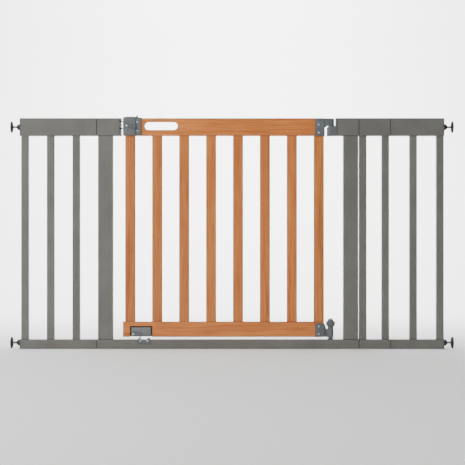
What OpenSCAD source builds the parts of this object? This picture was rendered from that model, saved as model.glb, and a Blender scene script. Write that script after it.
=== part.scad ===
// Pressure-fitted walk-through safety gate with a wooden door.
//
// The gate stands along X, its front faces -Y, and +Z is up. The origin is on the floor, half-way
// between the two walls that the gate is clamped between.

/* [Overall] */
// Height of the gate, floor to the top of the top rails
gate_h = 762; // [690:1:920]
// Width of the walk-through frame between its two end seams
frame_w = 865; // [810:1:1040]
// Depth of every rail and post, front to back
rail_d = 25; // [24:0.5:30]
// Height of the top rails
top_rail_h = 59; // [52:1:70]
// Height of the threshold rail and the other bottom rails
sill_h = 31; // [28:1:36]

/* [Tubes] */
// Wall thickness of the steel tubes
tube_wall = 1.5; // [1:0.1:2.5]
// Outer corner radius of the steel tubes
tube_r = 3; // [2.6:0.1:4]
// Width of the two main posts
post_w = 50; // [40:1:60]
// Distance from the frame's end seam to the outer side of the latch-side post
latch_post_inset = 3.5; // [1:0.5:8]
// Distance from the frame's end seam to the outer side of the hinge-side post
hinge_post_inset = 1.5; // [1:0.5:8]
// Width of an extension bar
bar_w = 25; // [20:1:30]
// Depth of an extension bar
bar_d = 20; // [16:0.5:22]

/* [Extensions] */
// Width of the extension on the latch side
left_ext_w = 253.5; // [215:0.5:310]
// Width of the extension next to the hinge side
near_ext_w = 103; // [102:1:140]
// Width of the outermost extension on the hinge side
far_ext_w = 177.5; // [148:0.5:220]
// Hairline gap at each seam between two panels
panel_gap = 1; // [0.5:0.1:2]
// Distance from the wall-side end of the latch-side extension to its first bar
left_bar_inset = 4.2; // [2:0.1:10]
// Spacing of the bars in the latch-side extension
left_bar_pitch = 84.7; // [60:0.1:88]
// Distance from the frame-side end of the middle extension to its first bar
near_bar_inset = 0.2; // [0:0.1:6]
// Spacing of the bars in the extension next to the hinge side
near_bar_pitch = 74.5; // [50:0.1:76]
// Distance from the wall-side end of the outermost extension to its first bar
far_bar_inset = 1.3; // [0.5:0.1:8]
// Spacing of the bars in the outermost extension
far_bar_pitch = 88.5; // [60:0.1:110]
// Length of the joiner that reaches into each of two neighbouring tubes
joiner_reach = 25; // [15:1:30]
// Gap all round between a joiner or a plug and the tube that it fits in
plug_clear = 0.15; // [0.05:0.05:0.4]

/* [Wall pads and spindles] */
// Diameter of a wall pad
pad_d = 39; // [34:0.5:46]
// Thickness of a wall pad
pad_t = 7.7; // [7:0.1:12]
// Radius of a threaded spindle
spindle_r = 4; // [3:0.1:5]
// Length of a spindle behind its pad
spindle_l = 75; // [60:1:100]
// Depth that the spindle's end sits in the pad
spindle_seat = 5; // [3:0.5:5.5]
// Running gap between a spindle and the nut or plug around it
spindle_clear = 0.06; // [0.02:0.01:0.1]
// Length of a hand nut
nut_l = 10.5; // [8:0.5:14]
// Radius of a hand nut
nut_r = 10.3; // [9:0.1:13]
// Free spindle between the hand nut and the pad
spindle_gap = 12.3; // [10:0.1:25]
// Height of the lower pads' rims above the floor
pad_floor_gap = 0.5; // [0.2:0.1:3]
// Thickness of the flange on a rail's end plug
plug_flange = 3; // [2:0.5:5]
// Length of the part of a plug that sits in the tube
plug_l = 20; // [14:1:24]

/* [Door] */
// Thickness of the wooden rails of the door
wood_t = 20; // [18:0.5:22]
// Thickness of a door slat
slat_t = 15; // [12:0.5:18]
// Width of a door slat
slat_w = 34; // [28:1:38]
// Height of the door's bottom rail
door_rail_h = 50.5; // [48:0.5:62]
// Gap between the threshold rail and the door
sill_gap = 8; // [7:0.5:14]
// Length of the tenons on the slats
tenon_l = 9; // [6:0.5:10]
// Distance from the door's latch end to the middle of the first slat
slat_inset_latch = 24; // [23:0.5:26]
// Distance from the hinge axis to the middle of the last slat
slat_inset_hinge = 39; // [38:0.5:43]
// Length of the hand slot in the top rail
hand_slot_l = 108.5; // [90:0.5:130]
// Height of the hand slot
hand_slot_h = 26; // [22:0.5:32]
// Distance from the top of the rail to the hand slot
hand_slot_drop = 13; // [10:0.5:16]
// Distance from the latch housing to the hand slot
hand_slot_inset = 11; // [8:0.5:30]

/* [Latch] */
// Gap between the strike and the latch housing
latch_gap = 5; // [4:0.5:7]
// Length of the latch-side stub rail with its strike
latch_stub_l = 81; // [75:1:110]
// Width of the hollow part of the latch housing
housing_w = 42; // [40:1:50]
// Width of the flange that the housing is screwed on with
flange_w = 19; // [16:0.5:24]
// Wall thickness of the latch housing
housing_wall = 2; // [1.5:0.1:2.2]
// Height of the housing above the top rail
housing_rise = 4.5; // [4:0.5:8]
// Thickness of the strike's collar
strike_collar = 6; // [5.8:0.1:9]
// Depth that the bolts reach into the strike
bolt_reach = 5; // [4:0.1:5.2]
// Height of one bolt
bolt_h = 3.3; // [2.5:0.1:4.5]
// Width of one bolt, front to back
bolt_w = 8; // [6:0.5:10]
// Distance from the top of the rail to the upper bolt
bolt_drop = 10.5; // [9.5:0.5:14]
// Distance between the two bolts
bolt_pitch = 23.5; // [18:0.5:26]
// Travel of the bolts and the thumb slide
bolt_travel = 7; // [6:0.5:7]
// Gap around a bolt in the housing and in the strike
bolt_clear = 0.6; // [0.3:0.1:1]
// Height of the thumb fin above the flange
fin_h = 8; // [6:0.5:12]
// Distance from the flange's free edge back to the thumb fin
fin_inset = 11.7; // [8.5:0.1:12]

/* [Hinges] */
// Length of the hinge-side stub rail with its collar
hinge_stub_l = 76; // [70:1:100]
// Thickness of the collar on the hinge side
hinge_collar = 5; // [3:0.5:8]
// Distance from the collar's face to the hinge axis
axis_reach = 16.5; // [15.5:0.5:22]
// Height of the fixed knuckle of the upper hinge
knuckle_h = 33.5; // [28:0.5:38]
// Radius of a hinge pin
pin_r = 4; // [3:0.1:5]
// Running gap between a hinge pin and its bore
pin_clear = 0.06; // [0.02:0.01:0.1]
// Gap between two hinge faces that turn on each other
bearing_gap = 0.5; // [0.3:0.1:1.5]
// Thickness of the hinge plates on the face of the wood
plate_t = 2.5; // [2:0.1:2.7]
// Radius of the lower hinge's barrel
barrel_r = 10; // [9.5:0.5:12]
// Height of the lower hinge's barrel
barrel_h = 37; // [32:1:44]
// Radius of the tension knob
knob_r = 14.75; // [12:0.25:16]

/* [Fasteners and lower lock] */
// Radius of a screw's head
screw_head_r = 3; // [2.5:0.1:3.6]
// Radius of a screw's shank
screw_r = 1.75; // [1.5:0.05:2.2]
// Radius of a lever rivet's head
rivet_head_r = 3.6; // [3.2:0.1:4.2]
// Radius of a lever rivet's shank
rivet_r = 2; // [1.6:0.1:2.4]
// Thickness of a turning lever
lever_t = 2.8; // [2:0.1:3.2]
// Width of the lower lock's case
lock_w = 66; // [58:1:74]
// Height of the lower lock's case
lock_h = 30.5; // [27:0.5:33]
// Width of the floor catch
catch_w = 44.5; // [40:0.5:52]
// Height of the floor catch's lugs above the threshold rail
catch_rise = 5; // [3:0.5:6]

/* [Hidden] */
CORNERS = ["left_top", "left_bottom", "right_top", "right_bottom"];
SLAT_COUNT = 8;
$fn = 48;
eps = 0.5;

STEEL_COAT = "#75746f";
PLATE_COAT = "#5f6164";
WOOD = "#b5794d";
ZINC = "#8f9698";
BRIGHT = "#c9ccce";
RUBBER = "#1d1f22";

// Panel seams along X
total_w = left_ext_w + frame_w + near_ext_w + far_ext_w + 3 * panel_gap;
x_left = -total_w / 2;
x_frame_0 = x_left + left_ext_w + panel_gap;
x_frame_1 = x_frame_0 + frame_w;
x_near_0 = x_frame_1 + panel_gap;
x_near_1 = x_near_0 + near_ext_w;
x_far_0 = x_near_1 + panel_gap;
x_right = x_far_0 + far_ext_w;

// Heights
z_top_0 = gate_h - top_rail_h;
z_top_mid = gate_h - top_rail_h / 2;
z_sill_mid = sill_h / 2;
z_pad_low = pad_d / 2 + pad_floor_gap;
z_door_0 = sill_h + sill_gap;
z_door_1 = z_door_0 + door_rail_h;

// Strike, latch and hinge positions along X
x_strike = x_frame_0 + latch_stub_l;
x_latch_tube = x_strike - strike_collar;
x_door = x_strike + latch_gap;
x_flange = x_door + housing_w;
x_flange_1 = x_flange + flange_w;
x_collar = x_frame_1 - hinge_stub_l;
x_hinge_tube = x_collar + hinge_collar;
x_axis = x_collar - axis_reach;

// Slats
x_slat_first = x_door + slat_inset_latch;
x_slat_last = x_axis - slat_inset_hinge;
slat_pitch = (x_slat_last - x_slat_first) / (SLAT_COUNT - 1);
tenon_w = slat_w - 10;
tenon_t = slat_t - 6;
tenon_gap = 0.25;

// Housing and mechanism
y_flange = wood_t / 2 + plate_t;
y_housing = max(rail_d / 2, y_flange) + 1.5;
z_housing_0 = z_top_0 + 1.5;
z_housing_1 = gate_h + housing_rise;
z_flange_1 = gate_h + 2;
tongue_h = 14;
x_tongue = x_slat_first - slat_w / 2 + 0.5;
z_bolt_hi = gate_h - bolt_drop;
z_bolt_lo = z_bolt_hi - bolt_pitch;
x_bolt_tip = x_strike - bolt_reach;
carriage_w = 14;
x_carriage_0 = x_door + housing_wall + 8;
x_carriage_1 = x_carriage_0 + carriage_w;
slide_t = 3.5;
slide_w = 10;
z_slide = gate_h - 4.5;
slide_clear = 0.5;
housing_shoulder = 10;
corner_r = 3;
channel_round = 0.5;
door_head_h = 1.6;
catch_head_h = 1.4;
y_screw_end = y_flange - 1;
x_fin_1 = x_flange_1 - fin_inset;
fin_gap = 0.3;
fin_w = flange_w - fin_inset - fin_gap;
fin_t = 8;
stem_t = 4;
z_lever = z_top_mid + 4;
x_lever = x_door + 13.5;
lever_hub_r = 5;
lever_tip_r = 7.5;
lever_reach = 23;
lever_fall = 3.3;
lever_gap = 0.3;
rivet_head_gap = 0.6;
rivet_head_h = 1.6;
latch_spring_r = 4;
wire_r = 0.6;

// Wood ends, hinge plates and their screws
plate_w = 32;
x_wood_1 = x_slat_last + slat_w / 2 - 0.5;
plate_end_t = 3;
x_plate_1 = x_wood_1 + plate_end_t;
x_plate_0 = x_plate_1 - plate_w;
x_plate_screw = x_slat_last - 0.5;
z_plate_1 = gate_h - 1;
arm_z0 = z_top_0 + knuckle_h + bearing_gap;
arm_r = rail_d / 2 - 0.5;
pin_floor = 8;
plate_screw_z = [z_top_0 + tenon_l + tenon_gap + screw_r, z_top_0 + 37.5];
bracket_h = 45;
bracket_end_t = 1.5;
x_bracket_1 = x_wood_1 + bracket_end_t;
bracket_screw_z = [z_door_0 + 10.5, z_door_0 + 35];
bracket_arm_h = 26.5;
flange_screw_z = [gate_h - 13, gate_h - 42.5];
x_flange_screw = x_flange + 7;

// Lower hinge
pin_base_h = 2.5;
z_barrel_0 = sill_h + 6;
z_barrel_1 = z_barrel_0 + barrel_h;
bearing_l = 8;
chamber_r = pin_r + 4;
closing_wire_r = 0.7;
stud_r = 3;
z_knob_0 = z_barrel_1 + bearing_gap + 0.7;
knob_body_h = 15.5;
knob_step_h = 7;
knob_tip_h = 3.5;
knob_bore_l = 18;

// Lower lock and floor catch
notch_side = 2.8;
x_lock_0 = x_door + 27.5;
x_lock_1 = x_lock_0 + lock_w;
z_lock_0 = z_door_0 + 2;
z_lock_1 = z_lock_0 + lock_h;
notch_top = z_lock_1 + 2.5;
y_lock = wood_t / 2 + 2;
x_lock_rivet = x_lock_0 + 8;
z_lock_rivet = z_lock_0 + 8;
lock_lever_w = 11.5;
lock_lever_reach = 22;
prong_w = 5;
x_prong = x_lock_rivet + lock_lever_reach;
catch_t = 2;
catch_lobe_r = 10.5;
x_catch_0 = x_prong + 1 - catch_lobe_r;
x_catch_1 = x_catch_0 + catch_w;
catch_lug_left = 5.5;
catch_lug_right = 11;
z_catch_screw = sill_h - 5;
catch_screw_x = [x_catch_0 + catch_lobe_r, x_catch_1 - catch_lobe_r];

// ---------------------------------------------------------------- shared shapes

module rounded(w, h, r) {
    square([w - 2 * r, h], center = true);
    square([w, h - 2 * r], center = true);
    for (x = [-1, 1], y = [-1, 1])
        translate([x * (w / 2 - r), y * (h / 2 - r)])
            circle(r);
}

// A prism from x0 to x1; its drawing's x runs along Y and its y along Z
module along_x(x0, x1, z) {
    translate([x0, 0, z])
        rotate([90, 0, 90])
            linear_extrude(x1 - x0)
                children();
}

// A prism from y0 to y1 of a drawing in the XZ plane
module along_y(y0, y1) {
    translate([0, y1, 0])
        rotate([90, 0, 0])
            linear_extrude(y1 - y0)
                children();
}

module rail(x0, x1, z, h) {
    difference() {
        along_x(x0, x1, z)
            rounded(rail_d, h, tube_r);
        along_x(x0 - eps, x1 + eps, z)
            rounded(rail_d - 2 * tube_wall, h - 2 * tube_wall, tube_r - tube_wall);
    }
}

// What fits inside a rail of height h
module rail_core(x0, x1, z, h) {
    shrink = 2 * (tube_wall + plug_clear);
    along_x(x0, x1, z)
        rounded(rail_d - shrink, h - shrink, tube_r - tube_wall);
}

module upright(x, w, d) {
    translate([x, 0, sill_h])
        linear_extrude(z_top_0 - sill_h)
            difference() {
                rounded(w, d, tube_r);
                rounded(w - 2 * tube_wall, d - 2 * tube_wall, tube_r - tube_wall);
            }
}

// Plan of a block side mm to front and back, square at x_flat, with round corners at x_round
module soft_plan(x_flat, x_round, side, r) {
    inner = x_round + (x_flat < x_round ? -r : r);
    translate([min(x_flat, inner), -side])
        square([abs(inner - x_flat), 2 * side]);
    translate([min(inner, x_round), r - side])
        square([r, 2 * (side - r)]);
    for (y = [-1, 1])
        translate([inner, y * (side - r)])
            circle(r);
}

module slab(x0, x1, y0, y1, z0, z1) {
    translate([x0, y0, z0])
        cube([x1 - x0, y1 - y0, z1 - z0]);
}

// Round bar along Y
module peg_y(x, y0, y1, z, r) {
    translate([x, y1, z])
        rotate([90, 0, 0])
            cylinder(h = y1 - y0, r = r);
}

// Round bar along X
module peg_x(x0, x1, z, r) {
    translate([x0, 0, z])
        rotate([0, 90, 0])
            cylinder(h = x1 - x0, r = r);
}

// Domed head on the front face y, standing out to -Y, with a shank to y_end
module front_screw(x, z, y, y_end, head_r, shank_r, head_h) {
    translate([x, y, z])
        rotate([90, 0, 0])
            rotate_extrude()
                intersection() {
                    translate([0, head_h - dome_r(head_r, head_h)])
                        circle(dome_r(head_r, head_h));
                    square([head_r, head_h]);
                }
    peg_y(x, y, y_end, z, shank_r);
}

function dome_r(r, h) = (r * r + h * h) / (2 * h);

// Helical wire round Z, from z = 0 to h
module coil(r, wire, h, turns) {
    sides = 6;
    steps = turns * 12;
    function ring(i) = [
        for (k = [0 : sides - 1])
            let (turn = 360 * turns * i / steps, a = 360 * k / sides, out = r + wire * cos(a))
            [out * cos(turn), out * sin(turn), wire + (h - 2 * wire) * i / steps + wire * sin(a)]
    ];
    points = [for (i = [0 : steps]) each ring(i)];
    quads = [
        for (i = [0 : steps - 1], k = [0 : sides - 1])
            [i * sides + k, i * sides + (k + 1) % sides,
             (i + 1) * sides + (k + 1) % sides, (i + 1) * sides + k]
    ];
    first = [for (k = [0 : sides - 1]) sides - 1 - k];
    last = [for (k = [0 : sides - 1]) steps * sides + k];
    polyhedron(points, concat(quads, [first, last]), convexity = 10);
}

// ---------------------------------------------------------------- walk-through frame

module left_post() {
    color(STEEL_COAT)
        upright(x_frame_0 + latch_post_inset + post_w / 2, post_w, rail_d);
}

module right_post() {
    color(STEEL_COAT)
        upright(x_frame_1 - hinge_post_inset - post_w / 2, post_w, rail_d);
}

module threshold_rail() {
    color(STEEL_COAT)
        difference() {
            rail(x_frame_0, x_frame_1, z_sill_mid, sill_h);
            for (x = catch_screw_x)
                peg_y(x, -rail_d, 0, z_catch_screw, screw_r);
        }
}

module latch_side_rail() {
    color(STEEL_COAT)
        rail(x_frame_0, x_latch_tube, z_top_mid, top_rail_h);
}

module hinge_side_rail() {
    color(STEEL_COAT)
        rail(x_hinge_tube, x_frame_1, z_top_mid, top_rail_h);
}

// End plug of the latch-side rail, with a slot for each bolt that runs out to the front and back
module strike_plug() {
    slot_h = bolt_h + 2 * bolt_clear;
    color(PLATE_COAT)
        difference() {
            union() {
                along_x(x_latch_tube, x_strike, z_top_mid)
                    rounded(rail_d, top_rail_h, tube_r);
                rail_core(x_latch_tube - plug_l, x_latch_tube + eps, z_top_mid, top_rail_h);
            }
            for (z = [z_bolt_hi, z_bolt_lo])
                slab(x_bolt_tip - bolt_clear, x_strike + eps, -rail_d, rail_d,
                     z - slot_h / 2, z + slot_h / 2);
        }
}

// End plug of the hinge-side rail with the fixed half of the upper hinge
module hinge_knuckle() {
    ramp = 10;
    color(PLATE_COAT)
        difference() {
            union() {
                along_x(x_collar, x_hinge_tube, z_top_mid)
                    rounded(rail_d, top_rail_h, tube_r);
                rail_core(x_hinge_tube - eps, x_hinge_tube + plug_l, z_top_mid, top_rail_h);
                slab(x_axis, x_collar + eps, -rail_d / 2, rail_d / 2, z_top_0, z_top_0 + knuckle_h);
                translate([x_axis, 0, z_top_0])
                    cylinder(h = knuckle_h, r = rail_d / 2);
            }
            translate([x_axis, 0, z_top_0 + pin_floor])
                cylinder(h = top_rail_h, r = pin_r);
            translate([x_axis - rail_d / 2, 0, z_top_0 + knuckle_h])
                rotate([0, -38, 0])
                    cube([1.5 * ramp, 2 * rail_d, 0.9 * ramp], center = true);
        }
}

module upper_hinge_pin() {
    color(ZINC)
        translate([x_axis, 0, z_top_0 + pin_floor])
            cylinder(h = z_plate_1 - z_top_0 - pin_floor - bearing_gap, r = pin_r);
}

// Foot plate, collar, hinge pin and the stud that the knob turns on
module lower_hinge_pin() {
    color(ZINC)
        translate([x_axis, 0, sill_h]) {
            cylinder(h = pin_base_h, r = barrel_r);
            cylinder(h = z_barrel_0 - bearing_gap - sill_h, r = pin_r + 3);
            cylinder(h = z_barrel_1 - sill_h, r = pin_r);
            cylinder(h = z_knob_0 + knob_bore_l - 2 - sill_h, r = stud_r);
        }
}

module closing_spring() {
    color(BRIGHT)
        translate([x_axis, 0, z_barrel_0 + bearing_l + 1])
            coil((pin_r + chamber_r) / 2, closing_wire_r, barrel_h - bearing_l - 2, 8);
}

module hinge_tension_knob() {
    flutes = 12;
    color(PLATE_COAT)
        translate([x_axis, 0, z_knob_0])
            difference() {
                union() {
                    linear_extrude(knob_body_h)
                        difference() {
                            circle(knob_r);
                            for (i = [0 : flutes - 1])
                                rotate(360 * i / flutes)
                                    translate([knob_r + 0.9, 0])
                                        circle(2);
                        }
                    cylinder(h = knob_body_h + knob_step_h, r = 9.5);
                    cylinder(h = knob_body_h + knob_step_h + knob_tip_h, r = 2.5);
                }
                translate([0, 0, -eps])
                    cylinder(h = knob_bore_l + eps, r = stud_r + pin_clear);
            }
}

// Keeper screwed to the front of the threshold rail; its valley lets the prong swing through
module floor_catch() {
    z1 = sill_h + catch_rise;
    color(PLATE_COAT) {
        difference() {
            along_y(-rail_d / 2 - catch_t, -rail_d / 2) {
                for (x = catch_screw_x)
                    translate([x, z_catch_screw])
                        circle(catch_lobe_r);
                translate([catch_screw_x[0], z_catch_screw - catch_lobe_r / 2])
                    square([catch_screw_x[1] - catch_screw_x[0], catch_lobe_r]);
            }
            slab(x_catch_0, x_catch_1, -rail_d, rail_d, z1, sill_h + catch_lobe_r);
            slab(x_catch_0 + catch_lug_left, x_catch_1 - catch_lug_right, -rail_d, rail_d,
                 sill_h, z1 + eps);
            for (x = catch_screw_x)
                peg_y(x, -rail_d, 0, z_catch_screw, screw_r);
        }
        slab(x_catch_0 + 2.5, x_catch_0 + catch_lug_left, -rail_d / 2 - eps, rail_d / 2 - 2,
             sill_h, z1 - 1.5);
        slab(x_catch_1 - catch_lug_right, x_catch_1 - 2.5, -rail_d / 2 - eps, rail_d / 2 - 2,
             sill_h, z1 - 1.5);
    }
}

module catch_screws() {
    color(BRIGHT)
        for (x = catch_screw_x)
            front_screw(x, z_catch_screw, -rail_d / 2 - catch_t, -rail_d / 2 + 6,
                        screw_head_r, screw_r, catch_head_h);
}

// ---------------------------------------------------------------- extensions

module left_ext_top_rail() {
    color(STEEL_COAT)
        rail(x_left + plug_flange, x_left + left_ext_w, z_top_mid, top_rail_h);
}

module left_ext_bottom_rail() {
    color(STEEL_COAT)
        rail(x_left + plug_flange, x_left + left_ext_w, z_sill_mid, sill_h);
}

module left_ext_bars() {
    color(STEEL_COAT)
        for (i = [0 : 2])
            upright(x_left + left_bar_inset + bar_w / 2 + i * left_bar_pitch, bar_w, bar_d);
}

module near_ext_top_rail() {
    color(STEEL_COAT)
        rail(x_near_0, x_near_1, z_top_mid, top_rail_h);
}

module near_ext_bottom_rail() {
    color(STEEL_COAT)
        rail(x_near_0, x_near_1, z_sill_mid, sill_h);
}

module near_ext_bars() {
    color(STEEL_COAT)
        for (i = [0 : 1])
            upright(x_near_0 + near_bar_inset + bar_w / 2 + i * near_bar_pitch, bar_w, bar_d);
}

module far_ext_top_rail() {
    color(STEEL_COAT)
        rail(x_far_0, x_right - plug_flange, z_top_mid, top_rail_h);
}

module far_ext_bottom_rail() {
    color(STEEL_COAT)
        rail(x_far_0, x_right - plug_flange, z_sill_mid, sill_h);
}

module far_ext_bars() {
    color(STEEL_COAT)
        for (i = [0 : 1])
            upright(x_right - far_bar_inset - bar_w / 2 - i * far_bar_pitch, bar_w, bar_d);
}

// Blocks that bridge each seam inside the tubes
module panel_joiners() {
    color(PLATE_COAT)
        for (x = [x_frame_0 - panel_gap, x_frame_1, x_near_1]) {
            rail_core(x - joiner_reach, x + panel_gap + joiner_reach, z_top_mid, top_rail_h);
            rail_core(x - joiner_reach, x + panel_gap + joiner_reach, z_sill_mid, sill_h);
        }
}

function is_left(corner) = corner == "left_top" || corner == "left_bottom";
function corner_z(corner) = (corner == "left_top" || corner == "right_top") ? z_top_mid : z_pad_low;

// Places a corner's pieces: drawn on the +X side of the part's end face, and mirrored to the left
module at_corner(corner) {
    mirror([is_left(corner) ? 1 : 0, 0, 0])
        translate([-x_left, 0, corner_z(corner)])
            children();
}

module rail_end_plugs() {
    color(PLATE_COAT)
        for (corner = CORNERS) {
            top = corner_z(corner) == z_top_mid;
            z = top ? z_top_mid : z_sill_mid;
            h = top ? top_rail_h : sill_h;
            difference() {
                mirror([is_left(corner) ? 1 : 0, 0, 0])
                    union() {
                        along_x(-x_left - plug_flange, -x_left, z)
                            rounded(rail_d, h, tube_r);
                        rail_core(-x_left - plug_flange - plug_l, -x_left - plug_flange + eps, z, h);
                    }
                at_corner(corner)
                    peg_x(-plug_flange - plug_l - eps, eps, 0, spindle_r + spindle_clear);
            }
        }
}

module spindle(corner) {
    color(ZINC)
        at_corner(corner)
            peg_x(nut_l + spindle_gap - spindle_l, nut_l + spindle_gap + spindle_seat, 0, spindle_r);
}

module hand_nut(corner) {
    grips = 8;
    color(RUBBER)
        at_corner(corner)
            rotate([0, 90, 0])
                difference() {
                    rotate_extrude()
                        difference() {
                            polygon([[0, 0], [nut_r, 0], [nut_r, nut_l * 0.62],
                                     [spindle_r + 1.4, nut_l], [0, nut_l]]);
                            translate([-eps, -eps])
                                square([spindle_r + spindle_clear + eps, nut_l + 2 * eps]);
                        }
                    for (i = [0 : grips - 1])
                        rotate(360 * (i + 0.5) / grips)
                            translate([nut_r + 1.3, 0, -eps])
                                cylinder(h = nut_l + 2 * eps, r = 2.2);
                }
}

module wall_pad(corner) {
    edge = 2;
    r = pad_d / 2;
    color(RUBBER)
        at_corner(corner)
            translate([nut_l + spindle_gap, 0, 0])
                rotate([0, 90, 0])
                    rotate_extrude()
                        difference() {
                            union() {
                                polygon([[0, 0], [spindle_r + 4, 0], [r - 3.5, 1.8], [r - 1, 3.2],
                                         [r, 4.2], [r, pad_t - edge], [0, pad_t - edge]]);
                                square([r - edge, pad_t]);
                                translate([r - edge, pad_t - edge])
                                    circle(edge);
                            }
                            translate([-eps, -eps])
                                square([spindle_r + eps, spindle_seat + eps]);
                            translate([-eps, pad_t - 0.8])
                                square([6 + eps, 1 + eps]);
                        }
}

// ---------------------------------------------------------------- door

module slat_tenon(i, z0, z1) {
    translate([x_slat_first + i * slat_pitch, 0, (z0 + z1) / 2])
        cube([tenon_w, tenon_t, z1 - z0], center = true);
}

module door_slat(i) {
    color(WOOD) {
        translate([x_slat_first + i * slat_pitch, 0, (z_door_1 + z_top_0) / 2])
            cube([slat_w, slat_t, z_top_0 - z_door_1], center = true);
        slat_tenon(i, z_door_1 - tenon_l, z_top_0 + tenon_l);
    }
}

module door_top_rail() {
    slot_x0 = x_flange_1 + hand_slot_inset;
    slot_z1 = gate_h - hand_slot_drop;
    r = hand_slot_h / 2;
    color(WOOD)
        difference() {
            union() {
                slab(x_flange, x_wood_1, -wood_t / 2, wood_t / 2, z_top_0, gate_h);
                slab(x_tongue, x_flange + eps, -wood_t / 2, wood_t / 2, z_top_0, z_top_0 + tongue_h);
            }
            along_y(-wood_t, wood_t) {
                translate([slot_x0 + r, slot_z1 - hand_slot_h])
                    square([hand_slot_l - hand_slot_h, hand_slot_h]);
                for (x = [slot_x0 + r, slot_x0 + hand_slot_l - r])
                    translate([x, slot_z1 - r])
                        circle(r);
            }
            slab(x_flange - eps, x_fin_1 + bolt_travel + slide_clear, -slide_w / 2 - slide_clear,
                 slide_w / 2 + slide_clear, z_slide - slide_clear, gate_h + eps);
            for (i = [0 : SLAT_COUNT - 1])
                slat_tenon(i, z_top_0 - eps, z_top_0 + tenon_l);
            for (z = flange_screw_z)
                peg_y(x_flange_screw, -wood_t, wood_t, z, screw_r);
            for (z = plate_screw_z)
                peg_y(x_plate_screw, -wood_t, wood_t, z, screw_r);
        }
}

module door_bottom_rail() {
    color(WOOD)
        difference() {
            slab(x_door, x_wood_1, -wood_t / 2, wood_t / 2, z_door_0, z_door_1);
            slab(x_lock_0 - notch_side, x_lock_1 + notch_side, -wood_t, wood_t,
                 z_door_0 - eps, notch_top);
            for (i = [0 : SLAT_COUNT - 1])
                slat_tenon(i, z_door_1 - tenon_l, z_door_1 + eps);
            for (z = bracket_screw_z)
                peg_y(x_plate_screw, -wood_t, wood_t, z, screw_r);
        }
}

// ---------------------------------------------------------------- latch

// Solid block of the housing before it is hollowed and split into its two halves
module housing_block() {
    shoulder_h = housing_rise - 1.5;
    intersection() {
        along_y(-y_housing, y_housing)
            polygon([[x_door, z_housing_0], [x_flange, z_housing_0], [x_flange, z_housing_1],
                     [x_door + housing_shoulder, z_housing_1], [x_door, z_housing_1 - shoulder_h]]);
        translate([0, 0, z_housing_0 - eps])
            linear_extrude(z_housing_1 - z_housing_0 + 2 * eps)
                soft_plan(x_flange + eps, x_door, y_housing, corner_r);
    }
    slab(x_flange - eps, x_flange_1, -y_flange, y_flange, z_housing_0, z_flange_1);
}

module housing_hollow() {
    bolt_slot = bolt_h + 2 * bolt_clear;
    side = y_housing - housing_wall;
    stem_side = stem_t / 2 + slide_clear;
    slab(x_door + housing_wall, x_flange, -side, side,
         z_top_0 + tongue_h, gate_h + 1);
    slab(x_door + housing_wall, x_flange_1 + eps, -wood_t / 2, wood_t / 2, z_top_0, gate_h);
    for (z = [z_bolt_hi, z_bolt_lo])
        slab(x_door - eps, x_door + housing_wall + eps, -bolt_w / 2 - bolt_clear,
             bolt_w / 2 + bolt_clear, z - bolt_slot / 2, z + bolt_slot / 2);
    slab(x_fin_1 - fin_w - slide_clear, x_fin_1 + bolt_travel + slide_clear, -stem_side, stem_side,
         gate_h - eps, z_housing_1 + eps);
    for (z = flange_screw_z)
        peg_y(x_flange_screw, -y_housing - eps, y_screw_end, z, screw_r);
    peg_y(x_lever, -y_housing - eps, 0, z_lever, rivet_r);
}

module latch_housing_front() {
    color(PLATE_COAT)
        difference() {
            intersection() {
                housing_block();
                slab(x_door - 1, x_flange_1 + 1, -2 * y_housing, 0, z_top_0, z_housing_1 + 1);
            }
            housing_hollow();
        }
}

module latch_housing_back() {
    color(PLATE_COAT)
        difference() {
            intersection() {
                housing_block();
                slab(x_door - 1, x_flange_1 + 1, 0, 2 * y_housing, z_top_0, z_housing_1 + 1);
            }
            housing_hollow();
        }
}

module latch_bolts() {
    color(RUBBER) {
        slab(x_carriage_0, x_carriage_1, -bolt_w, bolt_w, z_bolt_lo - 6, z_slide);
        for (z = [z_bolt_hi, z_bolt_lo])
            slab(x_bolt_tip, x_carriage_0 + eps, -bolt_w / 2, bolt_w / 2,
                 z - bolt_h / 2, z + bolt_h / 2);
    }
}

// Flat bar on the carriage, a stem through the housing's top and the fin that the thumb pulls
module thumb_slide() {
    x_fin_0 = x_fin_1 - fin_w;
    z_fin = z_flange_1 + 0.4;
    color(RUBBER) {
        slab(x_carriage_0, x_fin_1, -slide_w / 2, slide_w / 2, z_slide, z_slide + slide_t);
        slab(x_fin_0 + 1, x_fin_1 - 1, -stem_t / 2, stem_t / 2, z_slide + slide_t - eps, z_fin + eps);
        along_y(-fin_t / 2, fin_t / 2)
            polygon([[x_fin_0, z_fin], [x_fin_1, z_fin], [x_fin_1, z_fin + fin_h],
                     [x_fin_1 - 1.6, z_fin + fin_h], [x_fin_0, z_fin + 2]]);
    }
}

module latch_spring() {
    color(BRIGHT)
        translate([x_carriage_1, 0, (z_bolt_hi + z_bolt_lo) / 2])
            rotate([0, 90, 0])
                coil(latch_spring_r, wire_r, x_flange - x_carriage_1, 6);
}

// Round hub and larger round tip, with a tapered web whose sides touch both circles
module tapered(x, z, reach, fall, r0, r1) {
    span = sqrt(reach * reach + fall * fall);
    a = atan2(-fall, reach);
    b = acos((r0 - r1) / span);
    translate([x, z]) {
        circle(r0);
        translate([reach, -fall])
            circle(r1);
        polygon([[r0 * cos(a + b), r0 * sin(a + b)], [r0 * cos(a - b), r0 * sin(a - b)],
                 [reach + r1 * cos(a - b), r1 * sin(a - b) - fall],
                 [reach + r1 * cos(a + b), r1 * sin(a + b) - fall]]);
    }
}

module pill(x, z, reach, w) {
    translate([x, z - w / 2])
        square([reach, w]);
    for (dx = [0, reach])
        translate([x + dx, z])
            circle(w / 2);
}

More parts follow.
